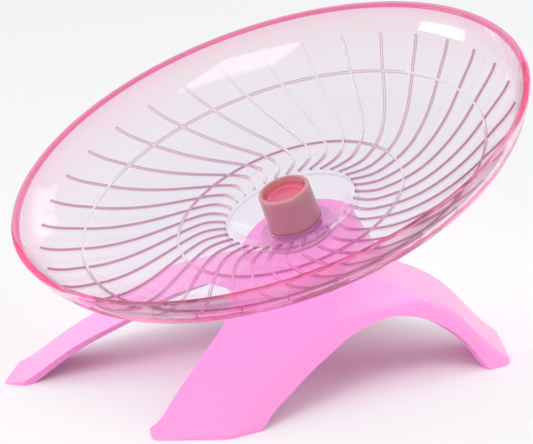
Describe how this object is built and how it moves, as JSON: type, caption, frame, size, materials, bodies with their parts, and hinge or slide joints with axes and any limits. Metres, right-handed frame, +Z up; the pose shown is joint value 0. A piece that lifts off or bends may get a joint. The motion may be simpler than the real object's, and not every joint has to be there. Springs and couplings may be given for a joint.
{
  "type": "pet exercise saucer wheel",
  "caption": "Clear pink running dish with curved grip ribs, spinning on a leaning boss of a glossy pink moulded stand with splayed legs.",
  "frame": {"origin": "on the floor, under the middle of the whole object", "axes": "+Z up; the dish leans towards -Y, its low side in front; the stand is the same on +X and -X"},
  "size_m": [0.1796, 0.164, 0.1123],
  "materials": {
    "stand_plastic": "glossy opaque pink moulding",
    "dish_plastic": "clear pale pink, polished",
    "housing_plastic": "translucent dusky pink",
    "cap_plastic": "deep pink, semi-gloss",
    "spindle_steel": "ground",
    "washer_nylon": "natural nylon",
    "washer_steel": "zinc plated",
    "screw_steel": "bright plated",
    "spacer_steel": "turned",
    "clip_steel": "blackened spring steel",
    "race_steel": "ground",
    "ball_steel": "polished",
    "cage_nylon": "natural nylon",
    "shield_steel": "pressed sheet"
  },
  "bodies": {
    "stand": {"stand": "stand_plastic", "spindle": "spindle_steel", "thrust_washer": "washer_nylon", "top_washer": "washer_steel", "spindle_screw": "screw_steel", "inner_spacer": "spacer_steel", "lower_inner_race": "race_steel", "upper_inner_race": "race_steel"},
    "dish": {"dish": "dish_plastic", "hub_housing": "housing_plastic", "hub_cap": "cap_plastic", "lower_outer_race": "race_steel", "upper_outer_race": "race_steel", "lower_shields": "shield_steel", "upper_shields": "shield_steel", "outer_spacer": "spacer_steel", "circlip": "clip_steel"},
    "lower_ball_ring": {"lower_balls": "ball_steel", "lower_ball_cage": "cage_nylon"},
    "upper_ball_ring": {"upper_balls": "ball_steel", "upper_ball_cage": "cage_nylon"}
  },
  "joints": [
    {"name": "dish_spin", "type": "hinge", "parent": "stand", "child": "dish", "pos_m": [0, 0, 0.07554], "axis": [0, -0.4115, 0.9114], "continuous": true},
    {"name": "lower_ball_roll", "type": "hinge", "parent": "stand", "child": "lower_ball_ring", "pos_m": [0, 0, 0.07554], "axis": [0, -0.4115, 0.9114], "continuous": true},
    {"name": "upper_ball_roll", "type": "hinge", "parent": "stand", "child": "upper_ball_ring", "pos_m": [0, 0, 0.07554], "axis": [0, -0.4115, 0.9114], "continuous": true}
  ],
  "couplings": [
    {"joint": "lower_ball_roll", "follows": "dish_spin", "ratio": 0.6111},
    {"joint": "upper_ball_roll", "follows": "dish_spin", "ratio": 0.6111}
  ]
}
